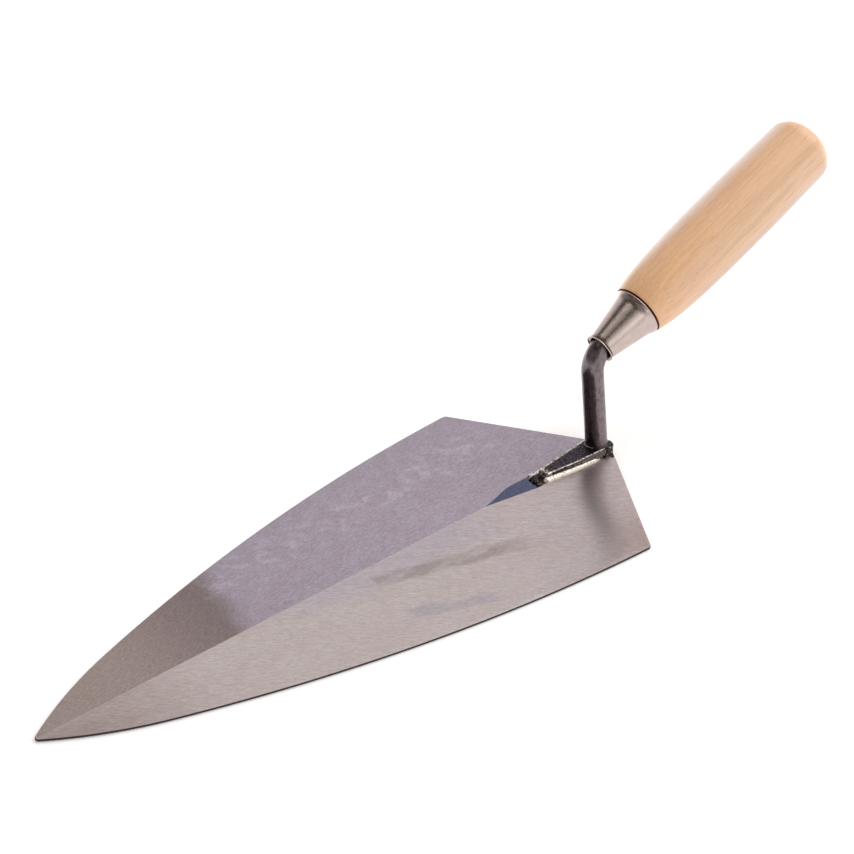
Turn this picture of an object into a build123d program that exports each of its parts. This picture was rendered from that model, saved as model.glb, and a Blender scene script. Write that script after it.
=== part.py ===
from build123d import *
import math
import os

# Brick trowel: a flat taper-ground steel blade, a bent forged shank welded to it, and a
# turned wooden handle with a plated ferrule.
# Working frame, in millimetres: toe of the blade at x = 0, handle towards +x, y across the
# blade, blade underside at z = 0. The finished pieces are moved so that the middle of the
# overall length is at x = 0.

# ---- blade
BLADE_LENGTH = 280.0  # toe to the point of the heel
HEEL_SETBACK = 38.4  # the heel corners lie this far in front of the heel point
TOE_RADIUS = 1.5
TOE_ANGLE = 34.75  # direction of the edge where the toe rounding ends, from the x axis
SHOULDER_RADIUS = 173.0  # quicker curve just behind the toe
SHOULDER_TURN = 15.36
EDGE_RADIUS = 715.0  # long shallow curve of each side
HEEL_CORNER_RADIUS = 2.0
HEEL_POINT_RADIUS = 3.0
TOE_THICKNESS = 1.0
HEEL_THICKNESS = 1.7  # on the ridge, at the point of the heel
FACET_SLOPE = 0.0098  # fall of each top facet from the ridge to the edge, mm per mm
LAND_START = 207.0  # the narrow flat ground along the ridge begins here
LAND_RISE = 0.0013  # how fast the flat rises towards the heel, mm per mm

# ---- shank: rod, bend and tang
ROD_RADIUS = 4.7
ROD_BASE_X = 272.9  # where the rod axis would meet z = 0
ROD_LEAN = 7.1  # the rod leans towards the toe, degrees from upright
BEND_RADIUS = 10.75  # on the rod axis
HANDLE_TILT = 24.75  # rise of the handle axis towards the butt, degrees
RIM_X = 291.9  # centre of the ferrule's large end, which is handle station 0
RIM_Z = 61.5
TANG_TAPER_START = -5.0  # handle stations, along the handle axis
TANG_END = 78.0
TANG_TIP_RADIUS = 2.6

# ---- shank: flattened triangular foot
FOOT_FRONT_X = 241.6  # front end of the top face
FOOT_FRONT_HALF_WIDTH = 2.7
FOOT_FRONT_CORNER_RADIUS = 1.0
FOOT_REAR_X = 272.0  # centre of the rounded rear end
FOOT_REAR_RADIUS = 5.2
FOOT_DRAFT = 8.0  # the walls spread downwards by this many degrees
FOOT_TOP_FRONT_Z = 4.2
FOOT_TOP_REAR_Z = 5.6
FOOT_BEVEL = 0.35

# ---- weld metal around the foot
SEAM_WIDTH = 1.9
SEAM_HEIGHT = 1.25
SEAM_WALL_OFFSET = 0.35  # the foot's walls stand out this much more at the blade than at the top
SEAM_START_X = 241.5
SEAM_END_X = 269.5
FRONT_WELD_CENTRE = (238.9, 0.4, 1.2)
FRONT_WELD_SIZE = (3.5, 4.4, 1.8)
REAR_WELD_CENTRE = (277.6, -0.9, 2.0)
REAR_WELD_SIZE = (3.1, 3.7, 2.6)
BLOB_BASE_Z = 0.7

# ---- ferrule, given by handle stations and radii
FERRULE_LENGTH = 23.2
FERRULE_WALL = 0.65
FERRULE_SMALL_RADIUS = 6.2
FERRULE_LARGE_RADIUS = 10.9
FERRULE_FLARE = 0.4  # the last stretch turns out by this much
FERRULE_FLARE_LENGTH = 1.2
LIP_RADIUS = 0.55  # half the thickness of the rolled lip
LIP_CIRCLE_RADIUS = 6.1

# ---- handle
HANDLE_LENGTH = 110.8  # from the ferrule's rim to the butt
HANDLE_NOSE_RADIUS = 11.25
HANDLE_NECK = (8.0, 13.05)  # station, radius
HANDLE_SHOULDER = (26.0, 14.6)
HANDLE_BELLY = (65.0, 15.25)
HANDLE_REAR = (101.5, 15.0)
BUTT_BULGE = 1.0  # height of the domed end
BUTT_ROUNDING = 8.0
NOSE_CHAMFER = 0.35
TENON_LENGTH = 12.0

REACH = 900.0  # larger than the whole trowel, for cutting planes


def ridge_height(x):
    return TOE_THICKNESS + (HEEL_THICKNESS - TOE_THICKNESS) * x / BLADE_LENGTH


def above(origin, normal):
    """Everything on the side of a plane that the normal points to."""
    slab = Box(REACH, REACH, 60.0, align=(Align.CENTER, Align.CENTER, Align.MIN))
    return Plane(origin=origin, x_dir=(1, 0, 0), z_dir=normal) * slab


def blade_outline():
    toe = JernArc((0, 0), (0, 1), TOE_RADIUS, TOE_ANGLE - 90.0)
    shoulder = JernArc(toe @ 1, toe % 1, SHOULDER_RADIUS, -SHOULDER_TURN)
    start_angle = math.radians(TOE_ANGLE - SHOULDER_TURN)
    run = BLADE_LENGTH - HEEL_SETBACK - (shoulder @ 1).X
    end_angle = math.asin(math.sin(start_angle) - run / EDGE_RADIUS)
    edge = JernArc(shoulder @ 1, shoulder % 1, EDGE_RADIUS, math.degrees(end_angle - start_angle))
    back = Line(edge @ 1, (BLADE_LENGTH, 0))
    half = Curve() + [toe, shoulder, edge, back]
    face = make_face(half + mirror(half, Plane.XZ))
    corners = [v for v in face.vertices() if abs(v.X - (edge @ 1).X) < 0.01]
    face = fillet(corners, HEEL_CORNER_RADIUS)
    point = [v for v in face.vertices() if v.X > BLADE_LENGTH - 0.01]
    return fillet(point, HEEL_POINT_RADIUS)


def make_blade():
    blade = extrude(blade_outline(), 3.0, dir=(0, 0, 1))
    rise = (HEEL_THICKNESS - TOE_THICKNESS) / BLADE_LENGTH
    for side in (1, -1):
        blade -= above((0, 0, TOE_THICKNESS), (-rise, side * FACET_SLOPE, 1))
    land = (LAND_START, 0, ridge_height(LAND_START))
    return blade - above(land, (-LAND_RISE, 0, 1))


def handle_plane():
    """Plane whose z axis is the handle axis, with its origin at station 0."""
    tilt = math.radians(HANDLE_TILT)
    return Plane(origin=(RIM_X, 0, RIM_Z), x_dir=(0, 1, 0), z_dir=(math.cos(tilt), 0, math.sin(tilt)))


def turned(outline):
    """Revolve an outline of (radius, station) edges about the handle axis."""
    profile = Plane.XZ * make_face(outline)
    return handle_plane() * revolve(profile, Axis.Z)


def rod_corner():
    """Where the straight rod's axis meets the handle axis, as (x, z)."""
    lean = math.tan(math.radians(ROD_LEAN))
    rise = math.tan(math.radians(HANDLE_TILT))
    x = (ROD_BASE_X - lean * (RIM_Z - rise * RIM_X)) / (1 + lean * rise)
    return x, RIM_Z + rise * (x - RIM_X)


def make_rod():
    x, z = rod_corner()
    tilt = math.radians(HANDLE_TILT)
    base_z = 3.2
    base = Vector(ROD_BASE_X - base_z * math.tan(math.radians(ROD_LEAN)), 0, base_z)
    end = Vector(RIM_X, 0, RIM_Z) + Vector(math.cos(tilt), 0, math.sin(tilt)) * TANG_TAPER_START
    corner = Vector(x, 0, z)
    path = FilletPolyline(base, corner, end, radius=BEND_RADIUS)
    section = Plane(origin=path @ 0, z_dir=path % 0) * Circle(ROD_RADIUS)
    return sweep(section, path=path)


def make_tang():
    outline = Polyline(
        (0, TANG_TAPER_START),
        (ROD_RADIUS, TANG_TAPER_START),
        (TANG_TIP_RADIUS, TANG_END - 3.0),
        (0.8, TANG_END),
        (0, TANG_END),
        close=True,
    )
    return turned(outline)


def foot_outline(inset):
    corner_x = FOOT_FRONT_CORNER_RADIUS
    corner_y = FOOT_FRONT_HALF_WIDTH - FOOT_FRONT_CORNER_RADIUS
    rounds = [Pos(FOOT_REAR_X - FOOT_FRONT_X, 0) * Circle(FOOT_REAR_RADIUS - inset)]
    for side in (1, -1):
        rounds.append(Pos(corner_x, side * corner_y) * Circle(FOOT_FRONT_CORNER_RADIUS - inset))
    return make_hull((Sketch() + rounds).edges())


def make_foot():
    """Wedge-shaped foot built downwards from its sloping top face."""
    slope = (FOOT_TOP_REAR_Z - FOOT_TOP_FRONT_Z) / (FOOT_REAR_X - FOOT_FRONT_X)
    top = Plane(
        origin=(FOOT_FRONT_X, 0, FOOT_TOP_FRONT_Z),
        x_dir=(1, 0, slope),
        z_dir=(slope, 0, -1),
    )
    bevel = extrude(foot_outline(FOOT_BEVEL), FOOT_BEVEL, taper=-45.0)
    walls = extrude(foot_outline(0.0), 6.0, taper=-FOOT_DRAFT)
    return top * (bevel + Pos(0, 0, FOOT_BEVEL) * walls)


def make_shank(blade):
    foot = make_foot() & above((0, 0, 1.2), (0, 0, 1))
    return foot + make_rod() + make_tang() - blade


def make_seam_bar():
    """Weld run in the corner between the blade and the foot's wall on the +y side."""
    run = FOOT_REAR_X - FOOT_FRONT_X - FOOT_FRONT_CORNER_RADIUS
    spread = math.atan2(FOOT_REAR_RADIUS - FOOT_FRONT_HALF_WIDTH, run)
    wall_y = FOOT_FRONT_HALF_WIDTH + SEAM_WALL_OFFSET
    wall_y += (SEAM_START_X - FOOT_FRONT_X) * math.tan(spread)
    toe = (SEAM_WIDTH, 0.0)
    crown = (-0.25, SEAM_HEIGHT)
    face_line = ThreePointArc(toe, (SEAM_WIDTH * 0.56, SEAM_HEIGHT * 0.62), crown)
    rest = Polyline(crown, (-1.5, SEAM_HEIGHT), (-1.5, -0.8), (SEAM_WIDTH, -0.8), toe)
    section = make_face([face_line, rest])
    start = Plane(
        origin=(SEAM_START_X, wall_y, ridge_height(SEAM_START_X) - 0.08),
        x_dir=(-math.sin(spread), math.cos(spread), 0),
        z_dir=(math.cos(spread), math.sin(spread), 0),
    )
    length = (SEAM_END_X - SEAM_START_X) / math.cos(spread)
    return start * extrude(section, length)


def cut_away(piece, others):
    for other in others:
        piece -= other
    return piece


def make_blob(centre, size):
    """Rounded lump of weld metal; nothing of it lies under the middle of the blade."""
    lump = Pos(*centre) * scale(Sphere(1.0), by=size)
    return lump & above((0, 0, BLOB_BASE_Z), (0, 0, 1))


def ferrule_inner_radius(station):
    taper = (FERRULE_LARGE_RADIUS - FERRULE_SMALL_RADIUS) / (FERRULE_LENGTH - LIP_RADIUS)
    return FERRULE_LARGE_RADIUS + taper * station - FERRULE_WALL


def make_ferrule():
    lip_station = LIP_RADIUS - FERRULE_LENGTH
    wall = Polyline(
        (FERRULE_SMALL_RADIUS, lip_station),
        (ferrule_inner_radius(-FERRULE_FLARE_LENGTH) + FERRULE_WALL, -FERRULE_FLARE_LENGTH),
        (FERRULE_LARGE_RADIUS + FERRULE_FLARE, -0.45),
        (FERRULE_LARGE_RADIUS + FERRULE_FLARE, 0),
        (ferrule_inner_radius(0), 0),
        (ferrule_inner_radius(lip_station), lip_station),
        close=True,
    )
    lip = Pos(LIP_CIRCLE_RADIUS, lip_station) * Circle(LIP_RADIUS)
    profile = Plane.XZ * (make_face(wall) + lip)
    return handle_plane() * revolve(profile, Axis.Z)


def make_handle(shank):
    stations = [HANDLE_NECK, HANDLE_SHOULDER, HANDLE_BELLY, HANDLE_REAR]
    side_points = [(HANDLE_NOSE_RADIUS, NOSE_CHAMFER)] + [(r, s) for s, r in stations]
    side = Spline(*side_points, tangents=[(0.42, 1.0), (-0.02, 1.0)])
    edge_station = HANDLE_LENGTH - BUTT_BULGE
    rear_radius = HANDLE_REAR[1]
    wall = Line(side @ 1, (rear_radius - 0.15, edge_station))
    dome = ThreePointArc(
        wall @ 1,
        (rear_radius * 0.6, HANDLE_LENGTH - 0.36 * BUTT_BULGE),
        (0, HANDLE_LENGTH),
    )
    nose = Polyline(
        dome @ 1,
        (0, -TENON_LENGTH),
        (ferrule_inner_radius(-TENON_LENGTH), -TENON_LENGTH),
        (ferrule_inner_radius(0), 0),
        (HANDLE_NOSE_RADIUS - NOSE_CHAMFER, 0),
        side @ 0,
    )
    handle = turned([side, wall, dome, nose])
    rim = handle.edges().filter_by(GeomType.CIRCLE)
    rim = [e for e in rim if abs(e.radius - (rear_radius - 0.15)) < 0.01]
    handle = fillet(rim, BUTT_ROUNDING)
    return handle - shank


def main():
    blade = make_blade()
    shank = make_shank(blade)
    seam_bar = make_seam_bar()
    near_seam = cut_away(mirror(seam_bar, Plane.XZ), [blade, shank])
    far_seam = cut_away(seam_bar, [blade, shank])
    front_weld = make_blob(FRONT_WELD_CENTRE, FRONT_WELD_SIZE)
    rear_weld = make_blob(REAR_WELD_CENTRE, REAR_WELD_SIZE)
    pieces = {
        "blade": blade,
        "shank": shank,
        "weld_seam_near": near_seam,
        "weld_seam_far": far_seam,
        "weld_front": cut_away(front_weld, [blade, shank, near_seam, far_seam]),
        "weld_rear": cut_away(rear_weld, [blade, shank]),
        "ferrule": make_ferrule(),
        "handle": make_handle(shank),
    }
    boxes = [piece.bounding_box() for piece in pieces.values()]
    toe_end = min(box.min.X for box in boxes)
    butt_end = max(box.max.X for box in boxes)
    shift = Pos(-(toe_end + butt_end) / 2, 0, 0)
    os.makedirs("parts", exist_ok=True)
    for name, piece in pieces.items():
        export_step(shift * piece, "parts/" + name + ".step")


main()
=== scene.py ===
import math

import bmesh
import bpy
import numpy as np
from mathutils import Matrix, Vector, noise


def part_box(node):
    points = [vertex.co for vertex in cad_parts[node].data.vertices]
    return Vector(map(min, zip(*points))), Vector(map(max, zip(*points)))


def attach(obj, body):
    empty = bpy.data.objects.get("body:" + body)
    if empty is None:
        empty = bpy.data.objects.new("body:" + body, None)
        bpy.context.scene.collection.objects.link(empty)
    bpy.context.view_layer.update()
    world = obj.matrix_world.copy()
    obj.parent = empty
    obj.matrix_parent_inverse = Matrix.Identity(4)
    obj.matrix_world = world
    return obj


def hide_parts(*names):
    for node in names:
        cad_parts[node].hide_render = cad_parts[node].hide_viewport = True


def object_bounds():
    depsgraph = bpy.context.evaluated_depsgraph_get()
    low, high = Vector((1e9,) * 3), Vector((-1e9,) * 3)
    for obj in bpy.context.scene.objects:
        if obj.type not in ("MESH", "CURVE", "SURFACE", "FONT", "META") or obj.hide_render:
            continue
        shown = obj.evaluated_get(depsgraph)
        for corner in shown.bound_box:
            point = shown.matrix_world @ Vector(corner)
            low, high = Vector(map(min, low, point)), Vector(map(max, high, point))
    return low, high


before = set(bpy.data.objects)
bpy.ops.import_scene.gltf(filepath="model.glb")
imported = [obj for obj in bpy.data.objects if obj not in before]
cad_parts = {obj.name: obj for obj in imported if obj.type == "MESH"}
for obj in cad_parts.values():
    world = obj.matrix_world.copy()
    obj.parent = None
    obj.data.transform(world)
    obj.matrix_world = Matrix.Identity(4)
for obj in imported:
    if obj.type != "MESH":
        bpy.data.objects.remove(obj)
CAD_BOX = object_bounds()

# Shapes are worked out in millimetres, with x counted from the toe of the blade, y across it and z up
# from its underside. put() turns that into the frame's metres.
MM = 0.001
TOE_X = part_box("blade")[0].x

# ---- blade
HEEL_POINT = 280.0
HEEL_SETBACK = 38.4
TOE_RADIUS = 1.5
TOE_ANGLE = 34.75
SHOULDER_RADIUS = 173.0
SHOULDER_TURN = 15.36
EDGE_RADIUS = 715.0
CORNER_RADIUS = 2.0
POINT_RADIUS = 3.0
TOE_THICKNESS = 1.0
HEEL_THICKNESS = 1.7
FACET_SLOPE = 0.0098
# the narrow flat ground along the ridge: the stretch over which it widens, and its width on each side
LAND_FAR_X = (208.0, 228.0)
LAND_FAR_WIDTH = 4.2
LAND_NEAR_X = (209.0, 235.0)
LAND_NEAR_WIDTH = 4.3

# ---- shank
ROD_RADIUS = 4.7
ROD_BASE_X = 272.9
ROD_LEAN = math.radians(7.1)
BEND_RADIUS = 10.75
TILT = math.radians(24.75)
RIM_X = 291.9
RIM_Z = 61.5
TANG_TAPER_START = -5.0
TANG_END = 78.0
TANG_TIP_RADIUS = 2.6
TANG_TIP_LENGTH = 3.0
FOOT_FRONT_X = 241.6
FOOT_FRONT_HALF_WIDTH = 2.7
FOOT_CORNER_RADIUS = 1.0
FOOT_REAR_X = 272.0
FOOT_REAR_RADIUS = 5.2
FOOT_DRAFT = math.radians(8.0)
FOOT_TOP_FRONT_Z = 4.2
FOOT_TOP_REAR_Z = 5.6
FOOT_BEVEL = 0.35
FOOT_BULGE = 0.75

# ---- weld runs along the foot
SEAM_START_X = 239.4
SEAM_END_X = 268.8

# ---- ferrule and handle, by station along the handle axis from the ferrule's rim
FERRULE_LENGTH = 23.2
FERRULE_WALL = 0.65
FERRULE_SMALL_RADIUS = 6.2
FERRULE_LARGE_RADIUS = 10.9
FERRULE_FLARE = 0.4
LIP_RADIUS = 0.32
LIP_CIRCLE_RADIUS = 6.45
TURNED_IN_RADIUS = 5.05
HANDLE_LENGTH = 110.8
HANDLE_NOSE_RADIUS = 11.25
HANDLE_SWELL = 3.88
HANDLE_SWELL_LENGTH = 13.2
HANDLE_BELLY = 0.28
HANDLE_FALL = 0.22
TENON_LENGTH = 12.0
BUTT_ROUNDING = 8.0
HANDLE_TURN = (0, -math.degrees(TILT), 0)

# ---- camera: a long lens looking down on the near side of the blade from beyond its toe
CAMERA_TARGET = (178.5, 0.0, 53.4)
CAMERA_DISTANCE = 742.4
CAMERA_AZIMUTH = math.radians(-40.63)
CAMERA_ELEVATION = math.radians(33.44)
CAMERA_LENS = 82.2

# ---- room: levels of light, with 1 for a white wall; azimuths and elevations are in degrees
FLOOR_HALF_SIZE = 6.0
FLOOR_GAP = 0.0004
FLOOR_GLOW = 0.24
FLOOR_BACK_GLOW = 1.2
WHITE_WALL = (1.0, 0.99, 0.98)
UNLIT_LOW = (0.30, 0.27, 0.26)
UNLIT_HIGH = (0.10, 0.088, 0.082)
CEILING_RIGHT = (0.58, 0.56, 0.53)
CEILING_LEFT = (0.92, 0.90, 0.87)
TABLE_EDGE = (0.25, 0.22, 0.20)
BRIGHT_BACK = (1.7, 1.7, 1.72)
WINDOW = (1.30, 1.28, 1.23)
UNLIT_AZIMUTH = -98
LEFT_AZIMUTH = -150
BACK_AZIMUTH = 150
WINDOW_AZIMUTH = -9
WINDOW_ELEVATION = 18
KEY_AZIMUTH = 70
KEY_ELEVATION = 52
KEY_DISTANCE = 1.6
KEY_SIZE = 1.2
KEY_POWER = 9
KEY_TARGET = (230, 0, 40)


def put(points):
    """Millimetres from the toe to metres in the frame."""
    moved = np.array(points, float).reshape(-1, 3) * MM
    moved[:, 0] += TOE_X
    return moved


def rough(points, size, seed=0.0):
    """Smooth noise from -1 to 1 at each point; size is its grain in millimetres, one number or three."""
    scaled = np.asarray(points, float) / np.asarray(size, float) + seed
    return np.array([noise.noise(Vector(p)) for p in scaled])


def smoothstep(low, high, value):
    """0 at low, 1 at high and smooth between; low may be the larger number."""
    t = np.clip((value - low) / (high - low), 0.0, 1.0)
    return t * t * (3.0 - 2.0 * t)


# ------------------------------------------------------------------ meshes


def closed_mesh(name, verts, faces):
    """A mesh whose faces all look outwards."""
    mesh = bpy.data.meshes.new(name)
    mesh.from_pydata(verts, [], faces)
    edit = bmesh.new()
    edit.from_mesh(mesh)
    bmesh.ops.recalc_face_normals(edit, faces=edit.faces)
    edit.to_mesh(mesh)
    edit.free()
    return mesh


def new_piece(name, verts, faces, material, node, attributes=None):
    """A piece from vertices in millimetres from the toe."""
    mesh = closed_mesh(name, put(verts).tolist(), faces)
    return finish_piece(name, mesh, material, node, attributes)


def finish_piece(name, mesh, material, node, attributes=None):
    """A smooth piece that stands for one CAD node, with numbers on its vertices for the material."""
    for key, values in (attributes or {}).items():
        attribute = mesh.attributes.new(key, "FLOAT", "POINT")
        attribute.data.foreach_set("value", np.asarray(values, np.float32))
    mesh.polygons.foreach_set("use_smooth", [True] * len(mesh.polygons))
    mesh.materials.append(material)
    piece = bpy.data.objects.new(name, mesh)
    bpy.context.scene.collection.objects.link(piece)
    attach(piece, "root")
    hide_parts(node)
    return piece


def bridge(loop_a, loop_b):
    """Faces between two closed loops of vertex numbers."""
    count = len(loop_a)
    return [
        (loop_a[k], loop_a[(k + 1) % count], loop_b[(k + 1) % count], loop_b[k])
        for k in range(count)
    ]


def arc(centre, radius, start, end, steps):
    """Points on an arc in a plane, angles in degrees."""
    angles = np.radians(np.linspace(start, end, steps))
    return [(centre[0] + radius * math.cos(a), centre[1] + radius * math.sin(a)) for a in angles]


def handle_point(radius, station, angle):
    """A point by its place round and along the handle axis."""
    along = Vector((math.cos(TILT), 0, math.sin(TILT)))
    across = Vector((-math.sin(TILT), 0, math.cos(TILT)))
    side = Vector((0, 1, 0))
    spoke = across * math.cos(angle) + side * math.sin(angle)
    return Vector((RIM_X, 0, RIM_Z)) + along * station + spoke * radius


def lathe(profile, segments, closed, wobble=None):
    """Turn a profile of (radius, station) round the handle axis. A closed profile makes a sleeve;
    an open one starts and ends on the axis. wobble(angle, station) is added to the radius."""
    verts, loops, faces = [], [], []
    for radius, station in profile:
        if radius < 1e-6:
            loops.append([len(verts)])
            verts.append(handle_point(0, station, 0))
            continue
        loop = []
        for k in range(segments):
            angle = 2 * math.pi * k / segments
            extra = wobble(angle, station) if wobble else 0.0
            loop.append(len(verts))
            verts.append(handle_point(radius + extra, station, angle))
        loops.append(loop)
    pairs = list(zip(loops, loops[1:]))
    if closed:
        pairs.append((loops[-1], loops[0]))
    for a, b in pairs:
        if len(a) == 1 or len(b) == 1:
            tip, ring = (a[0], b) if len(a) == 1 else (b[0], a)
            faces += [(tip, ring[k], ring[(k + 1) % segments]) for k in range(segments)]
        else:
            faces += bridge(a, b)
    return verts, faces


def fuse(name, shells, voxel):
    """One closed mesh, in millimetres, from overlapping closed shells of (verts, faces)."""
    verts, faces = [], []
    for shell_verts, shell_faces in shells:
        start = len(verts)
        verts += [tuple(v) for v in shell_verts]
        faces += [tuple(start + i for i in f) for f in shell_faces]
    carrier = bpy.data.objects.new(name + "_carrier", closed_mesh(name, verts, faces))
    bpy.context.scene.collection.objects.link(carrier)
    remesh = carrier.modifiers.new("remesh", "REMESH")
    remesh.mode = "VOXEL"
    remesh.voxel_size = voxel
    bpy.context.view_layer.update()
    shown = carrier.evaluated_get(bpy.context.evaluated_depsgraph_get())
    fused = bpy.data.meshes.new_from_object(shown)
    bpy.data.objects.remove(carrier)
    return fused


def mesh_arrays(mesh):
    """Places and normals of a mesh's vertices, one row each."""
    places = np.zeros(len(mesh.vertices) * 3)
    normals = np.zeros(len(mesh.vertices) * 3)
    mesh.vertices.foreach_get("co", places)
    mesh.vertices.foreach_get("normal", normals)
    return places.reshape(-1, 3), normals.reshape(-1, 3)


def set_places(mesh, places):
    """Write millimetre positions into a mesh in the frame's metres."""
    mesh.vertices.foreach_set("co", put(places).ravel())
    mesh.update()


# ------------------------------------------------------------------ blade


def walk(start, heading, moves):
    """Follow straight runs and clockwise arcs. Returns points, and headings in radians from +x.
    A move is (radius, turn in radians, steps), or (None, length, steps) for a straight run."""
    points, headings = [Vector(start)], [heading]
    for radius, amount, steps in moves:
        for _ in range(steps):
            if radius is None:
                step = amount / steps
                turn = 0.0
            else:
                turn = amount / steps
                step = 2 * radius * math.sin(turn / 2)
            mid = heading - turn / 2
            points.append(points[-1] + Vector((math.cos(mid), math.sin(mid))) * step)
            heading -= turn
            headings.append(heading)
    return points, headings


def blade_outline():
    """Half outline from the toe round the far side to the heel point, with its headings."""
    toe_turn = math.pi / 2 - math.radians(TOE_ANGLE)
    nose = [(TOE_RADIUS, toe_turn, 8), (SHOULDER_RADIUS, math.radians(SHOULDER_TURN), 40)]
    points, headings = walk((0, 0), math.pi / 2, nose)
    corner_x = HEEL_POINT - HEEL_SETBACK
    run = corner_x - points[-1].x
    end = math.asin(math.sin(headings[-1]) - run / EDGE_RADIUS)
    corner_y = points[-1].y + EDGE_RADIUS * (math.cos(end) - math.cos(headings[-1]))
    back = math.atan2(corner_y, HEEL_SETBACK)
    trim = CORNER_RADIUS * math.tan((end + back) / 2)
    edge_turn = headings[-1] - end - trim / EDGE_RADIUS
    back_length = math.hypot(corner_y, HEEL_SETBACK) - trim
    back_length -= POINT_RADIUS * math.tan((math.pi / 2 - back) / 2)
    moves = nose + [
        (EDGE_RADIUS, edge_turn, 190),
        (CORNER_RADIUS, end + back, 7),
        (None, back_length, 60),
        (POINT_RADIUS, math.pi / 2 - back, 6),
    ]
    points, headings = walk((0, 0), math.pi / 2, moves)
    points[-1].y = 0.0
    return points, headings


def ridge_height(x):
    """Height of the ridge: the blade thickens in a straight line from toe to heel."""
    return TOE_THICKNESS + (HEEL_THICKNESS - TOE_THICKNESS) * x / HEEL_POINT


def top_height(places):
    """Height of the blade's upper face: two facets, the narrow land, and the unevenness of hand grinding."""
    x, y = places[:, 0], places[:, 1]
    far_edge = LAND_FAR_WIDTH * smoothstep(*LAND_FAR_X, x)
    near_edge = np.interp(x, LAND_NEAR_X, (0.0, LAND_NEAR_WIDTH))
    land_edge = np.where(y > 0, far_edge, near_edge)
    flat = ridge_height(x) - FACET_SLOPE * np.maximum(np.abs(y), land_edge)
    waves = 0.018 * rough(places, (38, 22, 50), 3.1) + 0.006 * rough(places, (11, 7, 50), 8.7)
    return flat + waves


def blade(material):
    """Top and underside as skins, joined by rings that round the thin dark edge."""
    outline, headings = blade_outline()
    last = len(outline) - 1

    def ring_point(k, inset):
        outward = Vector((-math.sin(headings[k]), math.cos(headings[k])))
        return outline[k] - outward * inset

    verts, faces, rim = [], [], []

    def sheet(inset, half_columns, height, flip):
        """A skin across the blade, out to a ring that lies inside the outline. Returns that ring."""
        start = len(verts)
        rows = []
        for k in range(last + 1):
            edge = ring_point(k, inset)
            if k in (0, last):
                rows.append([len(verts)] * (2 * half_columns + 1))
                verts.append([edge.x, 0.0, 0.0])
                continue
            row = []
            for j in range(-half_columns, half_columns + 1):
                share = math.copysign((abs(j) / half_columns) ** 1.5, j)
                row.append(len(verts))
                verts.append([edge.x, edge.y * share, 0.0])
            rows.append(row)
        places = np.array(verts[start:])
        heights = height(places)
        for n, z in enumerate(heights):
            verts[start + n][2] = float(z)
        rim.extend([0.0] * len(heights))
        for low, high in zip(rows, rows[1:]):
            for j in range(2 * half_columns):
                corners = [low[j], high[j], high[j + 1], low[j + 1]]
                face = [c for n, c in enumerate(corners) if c != corners[n - 1]]
                faces.append(face[::-1] if flip else face)
        far = [row[-1] for row in rows]
        near = [row[0] for row in rows[-2:0:-1]]
        return far + near

    def ring(inset, height, dark, far_dark=1.0):
        """One loop round the outline. dark is how much of the edge's colour it takes."""
        loop = []
        for side, order in ((1, range(last + 1)), (-1, range(last - 1, 0, -1))):
            for k in order:
                edge = ring_point(k, inset)
                loop.append(len(verts))
                place = np.array([[edge.x, side * edge.y, 0.0]])
                verts.append([edge.x, side * edge.y, float(height(place)[0])])
                rim.append(dark if side < 0 else min(dark, far_dark))
        return loop

    def below_top(depth):
        return lambda places: top_height(places) - depth

    def above_floor(height):
        return lambda places: np.full(len(places), height)

    loops = [
        sheet(0.22, 36, below_top(0.0), False),
        # the top ring is dark on the near side only: painted shade along the near edge, left light on the
        # far side
        ring(0.07, below_top(0.04), 1.0, far_dark=0.0),
        ring(0.0, below_top(0.16), 1.0),
        ring(0.0, above_floor(0.16), 1.0),
        ring(0.05, above_floor(0.04), 0.6),
        sheet(0.18, 3, above_floor(0.0), True),
    ]
    for upper, lower in zip(loops, loops[1:]):
        faces.extend(bridge(upper, lower))
    return new_piece("blade_steel_sheet", verts, faces, material, "blade", {"rim": rim})


# ------------------------------------------------------------------ shank


def shank_path():
    """Points, directions and radii along the middle of the rod, bend and tang."""
    lean, rise = math.tan(ROD_LEAN), math.tan(TILT)
    corner_x = (ROD_BASE_X - lean * (RIM_Z - rise * RIM_X)) / (1 + lean * rise)
    corner = Vector((corner_x, RIM_Z + rise * (corner_x - RIM_X)))
    up = math.pi / 2 + ROD_LEAN
    turn = up - TILT
    tangent = BEND_RADIUS * math.tan(turn / 2)
    base = Vector((ROD_BASE_X - 3.0 * lean, 3.0))
    straight = (corner - base).length - tangent
    reach = Vector((RIM_X - corner.x, RIM_Z - corner.y)).length
    taper_start = reach + TANG_TAPER_START - tangent
    taper = TANG_END - TANG_TAPER_START
    moves = [
        (None, straight, 70),
        (BEND_RADIUS, turn, 30),
        (None, taper_start, 16),
        (None, taper - TANG_TIP_LENGTH, 40),
        (None, TANG_TIP_LENGTH, 6),
    ]
    points, headings = walk(base, up, moves)
    body_end = straight + BEND_RADIUS * turn + taper_start
    travelled = [0.0]
    for a, b in zip(points, points[1:]):
        travelled.append(travelled[-1] + (b - a).length)
    travelled = np.array(travelled)
    radii = np.interp(
        travelled,
        [0, body_end, body_end + taper - TANG_TIP_LENGTH, body_end + taper],
        [ROD_RADIUS, ROD_RADIUS, TANG_TIP_RADIUS, 0.8],
    )
    radii = radii + 0.45 * np.exp(-np.maximum(travelled - 2.6, 0) / 0.6)  # flare into the foot
    return points, headings, radii


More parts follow.
